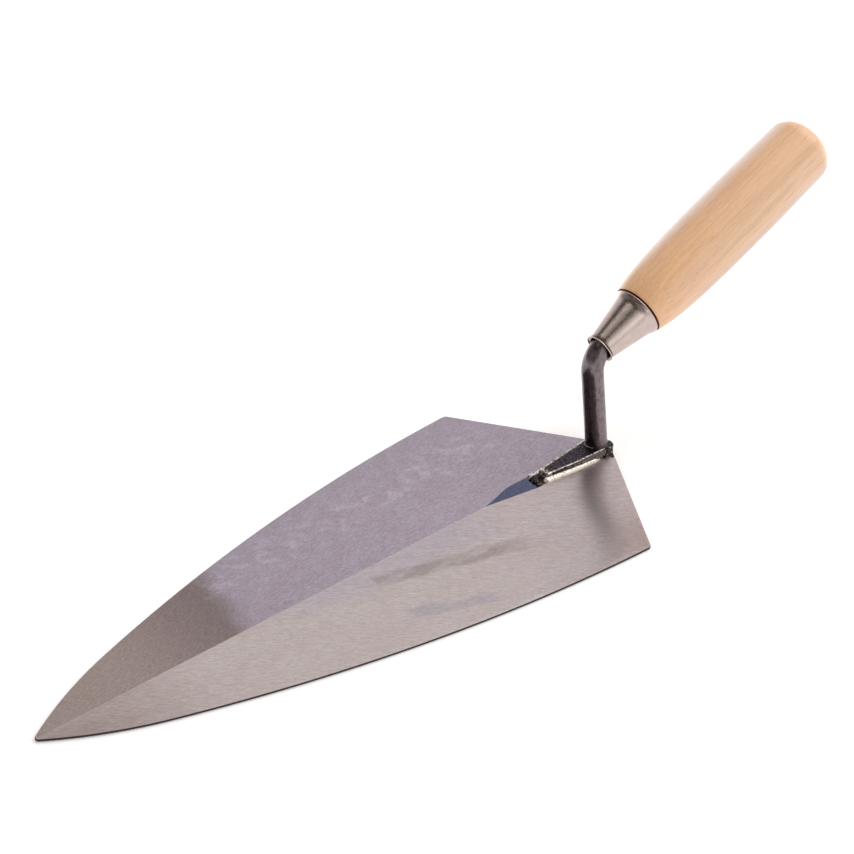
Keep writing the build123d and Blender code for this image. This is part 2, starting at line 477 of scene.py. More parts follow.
def tube(points, headings, radii, segments=48):
    """A closed round bar along a path in the plane of symmetry."""
    verts, loops, faces = [], [], []
    for point, heading, radius in zip(points, headings, radii):
        across = Vector((-math.sin(heading), 0, math.cos(heading)))
        loop = []
        for k in range(segments):
            angle = 2 * math.pi * k / segments
            spoke = across * math.cos(angle) + Vector((0, 1, 0)) * math.sin(angle)
            loop.append(len(verts))
            verts.append(Vector((point.x, 0, point.y)) + spoke * float(radius))
        loops.append(loop)
    for a, b in zip(loops, loops[1:]):
        faces += bridge(a, b)
    faces.append(tuple(loops[0][::-1]))
    faces.append(tuple(loops[-1]))
    return verts, faces


def foot_top(x):
    """Height of the foot's sloping top."""
    share = (x - FOOT_FRONT_X) / (FOOT_REAR_X - FOOT_FRONT_X)
    return FOOT_TOP_FRONT_Z + (FOOT_TOP_REAR_Z - FOOT_TOP_FRONT_Z) * share


def near_bulge(x):
    """How far the foot's near wall has been hammered out."""
    return FOOT_BULGE * smoothstep(242.0, 257.0, x) * smoothstep(277.0, 272.0, x)


def foot_outline(grow):
    """Rounded triangle round the foot's top face, grown outwards."""
    spread = math.degrees(math.atan2(
        FOOT_REAR_RADIUS - FOOT_FRONT_HALF_WIDTH,
        FOOT_REAR_X - FOOT_FRONT_X - FOOT_CORNER_RADIUS,
    ))
    front = FOOT_FRONT_X + FOOT_CORNER_RADIUS
    half = FOOT_FRONT_HALF_WIDTH - FOOT_CORNER_RADIUS
    small = FOOT_CORNER_RADIUS + grow
    far = arc((front, half), small, 180, 90 + spread, 8)
    rear = arc((FOOT_REAR_X, 0), FOOT_REAR_RADIUS + grow, 90 + spread, -90 - spread, 30)
    near = arc((front, -half), small, -90 - spread, -180, 8)
    rear_end, near_start = np.array(rear[-1]), np.array(near[0])
    side = [tuple(rear_end + (near_start - rear_end) * k / 12) for k in range(1, 12)]
    outline = far + rear + side + near
    return [(x, y - near_bulge(x) if y < 0 else y) for x, y in outline]


def foot_shell():
    """The foot before it is fused to the rod: sloping top, bevelled rim, walls that spread downwards."""
    depths = [(0.0, -FOOT_BEVEL), (FOOT_BEVEL, 0.0), (4.2, 4.2 * math.tan(FOOT_DRAFT))]
    verts, loops, faces = [], [], []
    for depth, grow in depths:
        loop = []
        for x, y in foot_outline(grow):
            loop.append(len(verts))
            floor = 1.2 if depth > 1 else foot_top(x) - depth
            verts.append(Vector((x, y, floor)))
        loops.append(loop)
    faces.append(tuple(loops[0]))
    for a, b in zip(loops, loops[1:]):
        faces += bridge(a, b)
    faces.append(tuple(loops[-1][::-1]))
    return verts, faces


def outline_gap(x, y):
    """Distance in plan from each point to the rim of the foot's top face."""
    outline = np.array(foot_outline(-FOOT_BEVEL))
    starts, ends = outline, np.roll(outline, -1, axis=0)
    nearest = np.full(len(x), 1e9)
    for (ax, ay), (bx, by) in zip(starts, ends):
        length = max((bx - ax) ** 2 + (by - ay) ** 2, 1e-9)
        t = np.clip(((x - ax) * (bx - ax) + (y - ay) * (by - ay)) / length, 0.0, 1.0)
        nearest = np.minimum(nearest, np.hypot(x - ax - t * (bx - ax), y - ay - t * (by - ay)))
    return nearest


def foot_wear_and_highlight(places, on_foot):
    """How bright each place on the foot is, as worn metal together with painted highlight: its rim
    bevel (wider on the far side), the crease round the rod, its front end and, a little, its near wall."""
    x, y, z = places.T
    below_top = foot_top(x) - z
    worn = rough(places, (1.6, 1.6, 0.8), 4.4)
    reach = np.where(y > 0, 0.5, 0.0)
    # the rim's brightness is worn metal together with a painted highlight along the bevel, wider on the far
    # side
    rim = smoothstep(0.40, 0.12, outline_gap(x, y) - reach + 0.18 * worn)
    rim = rim * smoothstep(0.7, 0.3, np.abs(below_top - 0.15))
    rim = rim * np.maximum(smoothstep(272.0, 270.8, x) * smoothstep(-0.55, 0.05, worn), y > 0)
    wall = smoothstep(0.4, 0.9, below_top) * smoothstep(246.0, 258.0, x) * (y < 0)
    base_x = ROD_BASE_X - math.tan(ROD_LEAN) * FOOT_TOP_REAR_Z
    crease = smoothstep(0.30, 0.08, np.abs(np.hypot(x - base_x, y) - ROD_RADIUS - 0.35))
    crease = crease * smoothstep(0.6, 0.2, np.abs(below_top))
    crease = crease * smoothstep(-3.5, -1.5, y) * smoothstep(272.0, 270.0, x)
    front = smoothstep(244.4, 242.6, x) * smoothstep(2.0, 2.8, z)
    front = front * smoothstep(-0.3, 0.2, rough(places, 0.9, 8.1))
    return on_foot * np.clip(rim * (0.8 + 0.6 * worn) + 0.35 * crease + front + 0.22 * wall, 0.0, 1.0)


def shank(material):
    """Rod, bend, tang and foot in one forging: rough scale on the foot, satin on the rod."""
    points, headings, radii = shank_path()
    mesh = fuse("forged_shank", [tube(points, headings, radii), foot_shell()], 0.24)
    places, normals = mesh_arrays(mesh)
    on_foot = smoothstep(7.6, 5.6, places[:, 2]) * smoothstep(279.5, 278.5, places[:, 0])
    scale = 0.07 * rough(places, 0.8, 1.7) + 0.05 * rough(places, 0.4, 5.2)
    hammered = 0.12 * rough(places, 3.5, 9.4)
    drawn = 0.02 * rough(places, (1.2, 1.2, 9.0), 2.3) + 0.05 * rough(places, 8.0, 6.6)
    lift = on_foot * (scale + hammered) + (1 - on_foot) * drawn
    attributes = {"wear_and_highlight": foot_wear_and_highlight(places, on_foot), "foot": on_foot}
    set_places(mesh, places + normals * lift[:, None])
    return finish_piece("forged_shank", mesh, material, "shank", attributes)


# ------------------------------------------------------------------ weld metal


def ball(centre, size, turn=0.0):
    """A closed ball, stretched to half sizes and turned about z by radians."""
    edit = bmesh.new()
    bmesh.ops.create_icosphere(edit, subdivisions=3, radius=1.0)
    c, s = math.cos(turn), math.sin(turn)
    verts = []
    for v in edit.verts:
        px, py, pz = v.co.x * size[0], v.co.y * size[1], v.co.z * size[2]
        verts.append((centre[0] + c * px - s * py, centre[1] + s * px + c * py, centre[2] + pz))
    faces = [tuple(v.index for v in f.verts) for f in edit.faces]
    edit.free()
    return verts, faces


def lumps(name, shells, voxel, grain, material, node, floor):
    """Weld metal: overlapping balls fused into one rough skin that stops at the floor height."""
    mesh = fuse(name, shells, voxel)
    places, normals = mesh_arrays(mesh)
    lift = grain * (rough(places, 1.3, 2.9) + 0.6 * rough(places, 0.5, 7.7))
    places = places + normals * lift[:, None]
    places[:, 2] = np.maximum(places[:, 2], floor)
    set_places(mesh, places)
    return finish_piece(name, mesh, material, node)


def front_weld(material):
    """A short dark run across the front of the foot, laid down in four overlapping puddles."""
    shells = [
        ball((237.2, -2.6, 1.4), (2.4, 1.6, 1.1), 0.3),
        ball((237.2, -0.6, 1.5), (2.4, 1.6, 1.4), 0.1),
        ball((237.9, 1.4, 1.6), (2.6, 1.7, 1.5), -0.2),
        ball((239.3, 3.2, 1.5), (2.6, 1.4, 1.3), -0.5),
        ball((240.5, 0.0, 2.0), (1.8, 2.4, 1.8), 0.0),
    ]
    return lumps("front_weld_run", shells, 0.13, 0.10, material, "weld_front", 1.0)


def rear_weld(material):
    """A lump behind the rod with drips beside it and drops of spatter on the blade."""
    shells = [
        ball((276.8, -2.9, 3.2), (2.1, 2.1, 2.3), 0.2),
        ball((275.2, -4.9, 2.6), (2.2, 1.7, 2.3), 0.6),
        ball((273.4, -5.4, 3.9), (1.5, 1.2, 1.8), 0.3),
        ball((272.4, -6.1, 1.9), (2.3, 1.3, 1.4), 0.2),
        ball((277.9, 0.9, 2.2), (1.7, 2.4, 1.7), -0.2),
    ]
    rng = np.random.default_rng(7)
    for _ in range(16):
        angle = rng.uniform(-2.6, -0.6)
        reach = rng.uniform(6.4, 9.2)
        drop = rng.uniform(0.16, 0.42)
        centre = (273.5 + 0.6 * reach * math.cos(angle), 0.4 + 0.95 * reach * math.sin(angle), 1.62)
        shells.append(ball(centre, (drop, drop * 1.2, drop * 0.8)))
    return lumps("rear_weld_lump", shells, 0.13, 0.12, material, "weld_rear", 0.8)


def seam(side, name, node, material):
    """Weld run in the corner between the blade and a long wall of the foot, ground to a flat strip."""
    run = FOOT_REAR_X - FOOT_FRONT_X - FOOT_CORNER_RADIUS
    spread = math.atan2(FOOT_REAR_RADIUS - FOOT_FRONT_HALF_WIDTH, run)
    steps, across = 120, 10
    verts, faces, loops = [], [], []
    for n in range(steps + 1):
        t = n / steps
        x = SEAM_START_X + (SEAM_END_X - SEAM_START_X) * t
        wall = FOOT_FRONT_HALF_WIDTH + 0.3 + (x - FOOT_FRONT_X) * math.tan(spread)
        if side < 0:
            wall += float(near_bulge(x))
        base = ridge_height(x) - 0.1
        ends = min(1.0, 14 * t + 0.35) * min(1.0, 9 * (1 - t) + 0.15)
        width = (1.75 - 0.85 * t) * ends
        height = (1.45 - 0.25 * t) * ends
        loop = []
        for k in range(across + 1):
            s = k / across
            bulge = 0.16 * math.sin(math.pi * s)
            gouge = 0.06 * noise.noise(Vector((x / 0.9, s * 1.4, 4.0 + side)))
            gouge += 0.035 * noise.noise(Vector((x / 0.3, s * 3.0, 9.0 + side)))
            y = wall - 0.15 + (width + 0.15) * s + bulge + gouge
            z = base + height * (1 - s) + bulge + gouge
            loop.append(len(verts))
            verts.append((x, side * y, z))
        for y, z in ((wall + width, base - 0.5), (wall - 0.8, base - 0.5), (wall - 0.8, base + height)):
            loop.append(len(verts))
            verts.append((x, side * y, z))
        loops.append(loop)
    for a, b in zip(loops, loops[1:]):
        faces += bridge(a, b)
    faces.append(tuple(loops[0]))
    faces.append(tuple(loops[-1][::-1]))
    return new_piece(name, verts, faces, material, node)


# ------------------------------------------------------------------ ferrule and handle


def ferrule_inner(station):
    """Radius of the ferrule's bore."""
    taper = (FERRULE_LARGE_RADIUS - FERRULE_SMALL_RADIUS) / (FERRULE_LENGTH - LIP_RADIUS)
    return FERRULE_LARGE_RADIUS + taper * station - FERRULE_WALL


def ferrule(material):
    """Drawn cone: rolled lip at the small end, slight waist, and a rim that flares over the wood."""
    lip_station = LIP_RADIUS - FERRULE_LENGTH
    stations = np.linspace(lip_station + 0.6, -1.3, 50)
    outer = []
    for s in stations:
        waist = 0.10 * math.sin(math.pi * (s - lip_station) / -lip_station)
        spread = 0.40 * max(0.0, (s + 4.0) / 2.7) ** 2
        nip = 0.22 * max(0.0, 1.0 - (s - lip_station) / 1.8)
        outer.append((ferrule_inner(s) + FERRULE_WALL - waist + spread - nip, s))
    flare = FERRULE_LARGE_RADIUS + FERRULE_FLARE
    rim = [(flare - 0.22, -0.85), (flare - 0.10, -0.6), (flare - 0.02, -0.42), (flare, -0.26)]
    rim += [(flare - 0.06, -0.08), (flare - 0.2, 0.0)]
    inner = [(ferrule_inner(s), s) for s in np.linspace(0.0, lip_station + 1.4, 16)]
    turned_in = [(TURNED_IN_RADIUS, lip_station + 0.8), (TURNED_IN_RADIUS, lip_station + 0.3)]
    turned_in.append((LIP_CIRCLE_RADIUS - 0.6, lip_station - 0.08))
    lip = arc((LIP_CIRCLE_RADIUS, lip_station), LIP_RADIUS, -150, 65, 14)
    profile = outer + rim + inner + turned_in + lip

    def dents(angle, station):
        spot = Vector((2.2 * math.cos(angle), 2.2 * math.sin(angle), station / 14))
        return 0.035 * noise.noise(spot)

    verts, faces = lathe(profile, 160, True, dents)
    return new_piece("plated_ferrule", verts, faces, material, "ferrule")


def handle_radius(station):
    """Turned side of the handle: quick swell behind the ferrule, then a long gentle belly."""
    swell = 1 - math.exp(-(station / HANDLE_SWELL_LENGTH) ** 0.92)
    belly = HANDLE_BELLY * math.sin(math.pi * min(station / 118.0, 1.0)) ** 2
    fall = HANDLE_FALL * smoothstep(70.0, 112.0, station)
    return HANDLE_NOSE_RADIUS + HANDLE_SWELL * swell + belly - fall


def handle(material):
    """Turned handle with its tenon, shoulder, rounded butt and the hole for the tang."""
    bore = [(0, TANG_END), (TANG_TIP_RADIUS, TANG_END - TANG_TIP_LENGTH), (ROD_RADIUS, TANG_TAPER_START)]
    bore += [(ROD_RADIUS, -TENON_LENGTH), (ferrule_inner(-TENON_LENGTH), -TENON_LENGTH)]
    shoulder = [(ferrule_inner(0.0), 0.02), (HANDLE_NOSE_RADIUS - 0.7, 0.02)]
    shoulder += [(HANDLE_NOSE_RADIUS - 0.62, 0.22), (HANDLE_NOSE_RADIUS - 0.1, 0.42)]
    side_end = HANDLE_LENGTH - 1.0 - BUTT_ROUNDING
    side = [(handle_radius(s), s) for s in np.linspace(0.6, side_end, 90)]
    corner_radius = handle_radius(side_end)
    corner = arc((corner_radius - BUTT_ROUNDING, side_end), BUTT_ROUNDING, 5, 82, 14)
    flat_radius, flat_station = corner[-1]
    rise = HANDLE_LENGTH - flat_station
    dome = []
    for k in range(1, 9):
        r = flat_radius * (1 - k / 8)
        dome.append((r, flat_station + rise * (1 - (r / flat_radius) ** 2)))
    profile = bore + shoulder + side + corner + dome

    def unevenness(angle, station):
        spot = Vector((0.8 * math.cos(angle), 0.8 * math.sin(angle), station / 30))
        return 0.05 * noise.noise(spot) if station > 0 else 0.0

    verts, faces = lathe(profile, 128, False, unevenness)
    return new_piece("turned_handle", verts, faces, material, "handle")


# ------------------------------------------------------------------ materials


class Nodes:
    """Short ways to add nodes to one node tree."""

    def __init__(self, tree):
        self.nodes = tree.nodes
        self.links = tree.links

    def add(self, kind, inputs=None, **settings):
        """A new node. inputs maps the names or numbers of its inputs to values or sockets."""
        node = self.nodes.new("ShaderNode" + kind)
        for key, value in settings.items():
            setattr(node, key, value)
        for key, value in (inputs or {}).items():
            self.feed(node.inputs[key], value)
        return node

    def feed(self, socket, value):
        """Link a socket into another, or set it to a plain value. None leaves it as it is."""
        if isinstance(value, bpy.types.NodeSocket):
            self.links.new(value, socket)
        elif value is not None:
            socket.default_value = value

    def map_range(self, curve, value, low, high, start, end):
        inputs = {"Value": value, "From Min": low, "From Max": high, "To Min": start, "To Max": end}
        return self.add("MapRange", inputs, interpolation_type=curve).outputs["Result"]

    def ramp(self, value, low, high, start=0.0, end=1.0):
        """A smooth change from start to end as value goes from low to high."""
        return self.map_range("SMOOTHSTEP", value, low, high, start, end)

    def line(self, value, low, high, start=0.0, end=1.0):
        """The same in a straight line."""
        return self.map_range("LINEAR", value, low, high, start, end)

    def math(self, operation, first, second=None):
        return self.add("Math", {0: first, 1: second}, operation=operation).outputs["Value"]

    def times(self, *values):
        result = values[0]
        for value in values[1:]:
            result = self.math("MULTIPLY", result, value)
        return result

    def vector_math(self, operation, first, second=None, output="Vector"):
        node = self.add("VectorMath", {0: first, 1: second}, operation=operation)
        return node.outputs[output]

    def dot(self, vector, towards):
        """How far a vector reaches towards a direction."""
        return self.vector_math("DOT_PRODUCT", vector, tuple(towards), "Value")

    def distance(self, first, second):
        return self.math("ABSOLUTE", self.math("SUBTRACT", first, second))

    def blend(self, share, first, second):
        """Number first to number second by share."""
        inputs = {"Factor": share, "A": first, "B": second}
        return self.add("Mix", inputs, data_type="FLOAT").outputs["Result"]

    def mix(self, share, first, second, how="MIX"):
        """Colour first to colour second by share; each is a colour or a socket."""
        node = self.add("Mix", data_type="RGBA", blend_type=how)
        sockets = [socket for socket in node.inputs if socket.type == "RGBA"]
        self.feed(node.inputs["Factor"], share)
        for socket, value in zip(sockets, (first, second)):
            self.feed(socket, (*value, 1.0) if isinstance(value, tuple) else value)
        return next(socket for socket in node.outputs if socket.type == "RGBA")

    def xyz(self, vector):
        return self.add("SeparateXYZ", {"Vector": vector}).outputs

    def attribute(self, name):
        return self.add("Attribute", attribute_name=name).outputs["Fac"]


class Paint(Nodes):
    """One material. Its positions are object coordinates in millimetres from the toe."""

    def __init__(self, name, **settings):
        self.material = bpy.data.materials.new(name)
        self.material.use_nodes = True
        super().__init__(self.material.node_tree)
        self.shader = self.nodes["Principled BSDF"]
        for key, value in settings.items():
            self.shader.inputs[key.replace("_", " ")].default_value = value
        inputs = {
            "Vector": self.add("TexCoord").outputs["Object"],
            "Location": (-TOE_X / MM, 0, 0),
            "Scale": (1 / MM, 1 / MM, 1 / MM),
        }
        self.place = self.add("Mapping", inputs).outputs["Vector"]

    def grain(self, size, turn=(0, 0, 0), shift=(0, 0, 0)):
        """The position in axes turned by angles in degrees, in units of a grain size in millimetres."""
        inputs = {
            "Vector": self.place,
            "Location": shift,
            "Rotation": tuple(math.radians(angle) for angle in turn),
        }
        turned = self.add("Mapping", inputs, vector_type="TEXTURE").outputs["Vector"]
        return self.vector_math("MULTIPLY", turned, tuple(1 / length for length in size))

    def noise(self, size, turn=(0, 0, 0), shift=(0, 0, 0), detail=2.0, roughness=0.5, distortion=0.0):
        """Cloudy noise from 0 to 1 with a grain of the given size."""
        inputs = {
            "Vector": self.grain(size, turn, shift),
            "Scale": 1.0,
            "Detail": detail,
            "Roughness": roughness,
            "Distortion": distortion,
        }
        return self.add("TexNoise", inputs).outputs["Fac"]

    def bump(self, height, distance, strength=1.0, normal=None):
        """A normal tilted by a height; distance is in millimetres for a height of one."""
        inputs = {"Strength": strength, "Distance": distance * MM, "Height": height, "Normal": normal}
        return self.add("Bump", inputs).outputs["Normal"]

    def handle_place(self):
        """The position with x along the handle axis, from the ferrule's rim, in millimetres."""
        return self.grain((1.0, 1.0, 1.0), HANDLE_TURN, (RIM_X, 0, RIM_Z))

    def set(self, name, source):
        self.links.new(source, self.shader.inputs[name])


def srgb(red, green, blue):
    """A colour from 0-255 screen values to the linear values that shaders take."""
    def linear(value):
        share = value / 255
        return share / 12.92 if share <= 0.04045 else ((share + 0.055) / 1.055) ** 2.4
    return (linear(red), linear(green), linear(blue))


def blade_material():
    """Ground steel: two facets ground in different directions, a land where they meet the shank with a
    painted dark bluish reflection, dark edges of oxide and painted shade, and old dried stains."""
    p = Paint("ground_blade_steel")
    x, y, z = p.xyz(p.place)
    far = p.ramp(y, -0.12, 0.12)

    near_strokes = p.noise((4.5, 0.55, 1.0), (0, 0, -38), detail=3.0, roughness=0.6, distortion=0.5)
    near_fine = p.noise((1.6, 0.30, 1.0), (0, 0, -30), (9, 2, 0))
    far_strokes = p.noise((2.6, 0.5, 1.0), (0, 0, 10), (3, 7, 0), detail=3.0, roughness=0.6, distortion=0.4)
    far_fine = p.noise((1.1, 0.34, 1.0), (0, 0, -16), (5, 1, 0))
    patches = p.noise((9.0, 6.0, 1.0), (0, 0, 20), (4, 4, 0), detail=3.0, roughness=0.55)
    near_marks = p.blend(0.45, near_strokes, near_fine)
    far_marks = p.line(p.blend(0.5, far_strokes, far_fine), 0.25, 0.75, 0.15, 0.85)
    marks = p.blend(far, near_marks, far_marks)
    wide = p.noise((45.0, 16.0, 1.0), (0, 0, -4), detail=3.0, roughness=0.55)

    near_colour = p.mix(p.ramp(x, 15.0, 75.0), srgb(168, 152, 148), srgb(202, 192, 190))
    near_colour = p.mix(p.ramp(x, 110.0, 215.0), near_colour, srgb(197, 187, 188))
    near_colour = p.mix(p.ramp(wide, 0.35, 0.65, 0.0, 0.5), near_colour, srgb(194, 182, 181))
    drift = p.math("ADD", y, p.line(wide, 0.3, 0.7, -7.0, 7.0))
    lilac = p.times(p.ramp(drift, -19.0, -7.0), p.ramp(x, 98.0, 122.0), p.ramp(x, 214.0, 192.0))
    near_colour = p.mix(p.times(lilac, 0.75), near_colour, srgb(190, 182, 190))
    smear, patch = blade_stains(p, x, y)
    near_colour = p.mix(patch, near_colour, srgb(172, 168, 178))
    near_colour = p.mix(smear, near_colour, srgb(160, 148, 146))
    corner = p.times(p.ramp(x, 218.0, 246.0), p.ramp(y, -36.0, -56.0))
    near_colour = p.mix(p.times(corner, 0.8), near_colour, srgb(190, 173, 168))

    slanted = p.math("SUBTRACT", p.math("ADD", x, p.times(wide, 9.0)), p.times(y, 0.2))
    mauve = p.ramp(slanted, 88.0, 104.0)
    far_colour = p.mix(p.ramp(x, 35.0, 92.0), srgb(159, 145, 140), srgb(130, 117, 117))
    far_colour = p.mix(mauve, far_colour, srgb(166, 157, 170))
    dull_patches = p.times(mauve, p.ramp(patches, 0.35, 0.65, 0.0, 0.7))
    far_colour = p.mix(dull_patches, far_colour, srgb(160, 149, 160))
    far_colour = p.mix(p.times(blade_clouds(p, x, y), 0.5), far_colour, srgb(192, 184, 197))
    colour = p.mix(far, near_colour, far_colour)
    dulled = p.line(marks, 0.36, 0.64, 1.0, 0.0)
    colour = p.mix(dulled, colour, srgb(220, 214, 214), "MULTIPLY")

    land = blade_land(p, x, y, z)
    land_grain = p.ramp(p.noise((0.9, 0.6, 1.0)), 0.3, 0.7)
    # painted reflection: the land is coloured dark blue-grey for the dark part of the room it mirrors
    land_painted_reflection = p.mix(land_grain, srgb(75, 79, 101), srgb(91, 95, 117))
    colour = p.mix(land, colour, land_painted_reflection)
    colour = p.mix(scorch(p, x, y), colour, srgb(88, 76, 72))
    colour = p.mix(p.ramp(z, 0.08, 0.02), colour, srgb(160, 150, 147))
    # the dark edge colour is oxide together with painted shade on the thin side wall
    rim = p.attribute("rim")
    colour = p.mix(rim, colour, srgb(26, 18, 22))
    p.set("Base Color", colour)

    p.set("Metallic", p.line(rim, 0.0, 1.0, 1.0, 0.0))
    rough_steel = p.line(marks, 0.35, 0.65, 0.37, 0.29)
    rough_steel = p.blend(land, rough_steel, 0.24)
    p.set("Roughness", p.blend(rim, rough_steel, 0.6))
    p.set("Anisotropic", p.line(land, 0.0, 1.0, 0.72, 0.0))
    p.set("Tangent", p.mix(far, (0.60, 0.80, 0.0), (-0.17, 0.98, 0.0)))
    p.set("Normal", p.bump(marks, 0.010, 0.5, p.bump(heel_hollow(p), 1.0)))
    return p.material


def heel_hollow(p):
    """Height in millimetres of a hollow beside the foot. It is only in the shading: it turns the
    reflection of the rod, and is steeper than a ground sheet could be."""
    away, sideways, origin = (-0.6, -0.8, 0.0), (-0.8, 0.6, 0.0), (256.0, -14.8, 0.0)
    start = float(np.dot(away, origin))
    middle = float(np.dot(sideways, origin))
    depth = p.ramp(p.dot(p.place, away), start - 5.0, start + 45.0, 0.0, -0.13)
    tilt = p.ramp(p.dot(p.place, sideways), middle - 30.0, middle + 30.0, -20.0, 20.0)
    return p.times(depth, tilt)


def blade_land(p, x, y, z):
    """Where the land lies, which gets a painted dark bluish reflection: wider on the far side at first, and
    straight along the foot.
    """
    far_edge = p.ramp(x, *LAND_FAR_X, 0.0, LAND_FAR_WIDTH)
    near_edge = p.line(x, *LAND_NEAR_X, 0.0, LAND_NEAR_WIDTH)
    inside_far = p.ramp(p.math("SUBTRACT", far_edge, y), -0.15, 0.15)
    inside_near = p.ramp(p.math("ADD", near_edge, y), -0.12, 0.12)
    return p.times(inside_far, inside_near, p.ramp(z, 1.1, 1.2), p.ramp(x, 205.0, 209.0))


def blade_stains(p, x, y):
    """Dried water marks on the near facet: a long smear under the ridge, and a fainter bluish patch."""
    edge = p.noise((16.0, 7.0, 1.0), (0, 0, 8), (2, 8, 0), detail=3.0)
    wandering = p.math("ADD", y, p.line(edge, 0.2, 0.8, -1.8, 1.8))
    gap = p.distance(wandering, p.line(x, 145.0, 210.0, -9.5, -29.0))
    smear = p.times(p.ramp(gap, 5.0, 2.0), p.ramp(x, 143.5, 145.5), p.ramp(x, 216.0, 196.0))
    fade = p.ramp(p.noise((14.0, 5.0, 1.0)), 0.3, 0.6, 0.35, 1.0)
    gap = p.distance(wandering, p.line(x, 140.0, 175.0, -31.0, -46.0))
    patch = p.times(p.ramp(gap, 4.2, 2.2), p.ramp(x, 141.0, 146.0), p.ramp(x, 176.0, 172.0))
    return p.times(smear, fade, 0.75), p.times(patch, p.blend(0.5, fade, 1.0), 0.6)


def blade_clouds(p, x, y):
    """Whitish bruises left by the press, in a loose row along the far facet."""
    gap = p.distance(y, p.line(x, 92.0, 240.0, 29.0, 38.0))
    bruises = p.noise((6.5, 5.0, 1.0), (0, 0, -28), (6, 1, 0), detail=3.0)
    row = p.times(p.ramp(gap, 15.0, 3.0), p.ramp(x, 84.0, 104.0), p.ramp(x, 252.0, 236.0))
    return p.times(row, p.ramp(bruises, 0.48, 0.66))


def scorch(p, x, y):
    """Heat stain and soot round the rear weld."""
    centre_x = p.math("SUBTRACT", x, 274.5)
    centre_y = p.math("ADD", y, 4.8)
    gap = p.math("SQRT", p.math("ADD", p.times(centre_x, centre_x), p.times(centre_y, centre_y)))
    gap = p.math("ADD", gap, p.times(p.noise((1.0, 1.0, 1.0), detail=3.0), 3.0))
    return p.ramp(gap, 6.0, 3.4, 0.0, 0.9)


def shank_material():
    """Dark forged steel: satin drawn rod, black scale on the foot, bright worn metal and painted highlights
    on its edges.
    """
    p = Paint("dark_forged_steel", Metallic=1.0)
    foot = p.attribute("foot")
    wear_and_highlight = p.attribute("wear_and_highlight")
    drawn = p.noise((0.6, 0.6, 5.0), (0, -7, 0), detail=4.0, roughness=0.6)
    mottling = p.noise((1.6, 1.6, 2.4), detail=3.0, roughness=0.6)
    flecks = p.noise((0.7, 0.7, 0.7), detail=3.0, roughness=0.7)
    rod = p.mix(drawn, srgb(104, 94, 97), srgb(142, 130, 134))
    rod = p.mix(p.ramp(mottling, 0.42, 0.70, 0.0, 0.6), rod, srgb(84, 74, 76))
    scale = p.mix(p.ramp(flecks, 0.38, 0.66), srgb(16, 12, 16), srgb(90, 78, 87))
    colour = p.mix(foot, rod, scale)
    # bright worn metal together with painted highlights on the foot's rim, crease and front
    bright = p.times(wear_and_highlight, p.ramp(flecks, 0.36, 0.56))
    colour = p.mix(bright, colour, srgb(232, 222, 212))
    p.set("Base Color", colour)
    p.set("Roughness", p.math("ADD", p.line(drawn, 0.3, 0.7, 0.20, 0.30), p.times(foot, 0.16)))
    p.set("Normal", p.bump(flecks, 0.12, p.line(foot, 0.0, 1.0, 0.15, 0.9), p.bump(drawn, 0.02, 0.4)))
    return p.material


def ground_weld_material():
    """Weld metal ground bright, with marks along the run and a few pits."""
    p = Paint("ground_weld_metal", Metallic=0.9)
    marks = p.noise((2.0, 0.4, 0.4), (0, 0, 5), detail=4.0, roughness=0.65)
    pits = p.noise((0.9, 0.6, 0.6), detail=4.0, roughness=0.6)
    colour = p.mix(marks, srgb(200, 190, 178), srgb(232, 224, 212))
    colour = p.mix(p.ramp(pits, 0.56, 0.66), colour, srgb(112, 98, 88))
    p.set("Base Color", colour)
    p.set("Roughness", p.line(marks, 0.3, 0.7, 0.34, 0.5))
    p.set("Normal", p.bump(marks, 0.04, 0.6))
    return p.material


def raw_weld_material():
    """Burnt weld metal, brown-black, with a few painted glints as bright specks and a painted whitish
    highlight on the far front side.
    """
    p = Paint("raw_weld_metal", Metallic=0.9)
    x, y, z = p.xyz(p.place)
    burnt = p.noise((1.5, 1.5, 1.5), detail=4.0, roughness=0.6)
    fine = p.noise((0.6, 0.6, 0.6), detail=3.0, roughness=0.6)
    colour = p.mix(p.ramp(burnt, 0.38, 0.66), srgb(17, 11, 8), srgb(62, 50, 48))
    # painted highlight: a whitish patch on the far front, and small bright specks as painted glints
    far_front = p.times(p.ramp(y, 1.4, 3.0), p.ramp(x, 246.0, 243.0), p.ramp(z, 1.5, 2.2))
    far_front_highlight = p.times(far_front, p.ramp(burnt, 0.35, 0.55))
    painted_glints = p.math("MAXIMUM", p.ramp(fine, 0.62, 0.70), far_front_highlight)
    colour = p.mix(painted_glints, colour, srgb(222, 213, 216))
    p.set("Base Color", colour)
    p.set("Roughness", p.line(fine, 0.3, 0.7, 0.16, 0.42))
    p.set("Normal", p.bump(fine, 0.10, 0.8))
    return p.material


def ferrule_material():
    """Warm nickel plate over drawn sheet, faintly dimpled, with a cloudy film and painted shade in the
    groove behind the lip.
    """
    p = Paint("nickel_plate", Metallic=1.0)
    drawn = p.noise((7.0, 0.7, 0.7), HANDLE_TURN, detail=4.0, roughness=0.6)
    dimples = p.noise((0.55, 0.45, 0.45), HANDLE_TURN)
    film = p.noise((4.0, 2.4, 2.4), HANDLE_TURN, detail=3.0, roughness=0.55, distortion=0.4)
    from_lip = p.math("ADD", p.xyz(p.handle_place())[0], FERRULE_LENGTH)
    colour = p.mix(p.ramp(film, 0.35, 0.65), srgb(199, 182, 177), srgb(191, 176, 170))
    # painted shade: a dark brown band in the groove just behind the rolled lip
    behind_lip = p.times(p.ramp(from_lip, 0.50, 0.66), p.ramp(from_lip, 1.5, 1.1))
    groove_shade = p.times(behind_lip, p.ramp(film, 0.3, 0.5, 0.7, 1.0))
    colour = p.mix(groove_shade, colour, srgb(52, 34, 28))
    p.set("Base Color", colour)
    p.set("Roughness", p.line(film, 0.3, 0.7, 0.11, 0.17))
    p.set("Normal", p.bump(dimples, 0.06, 1.0, p.bump(drawn, 0.012, 0.5)))
    return p.material


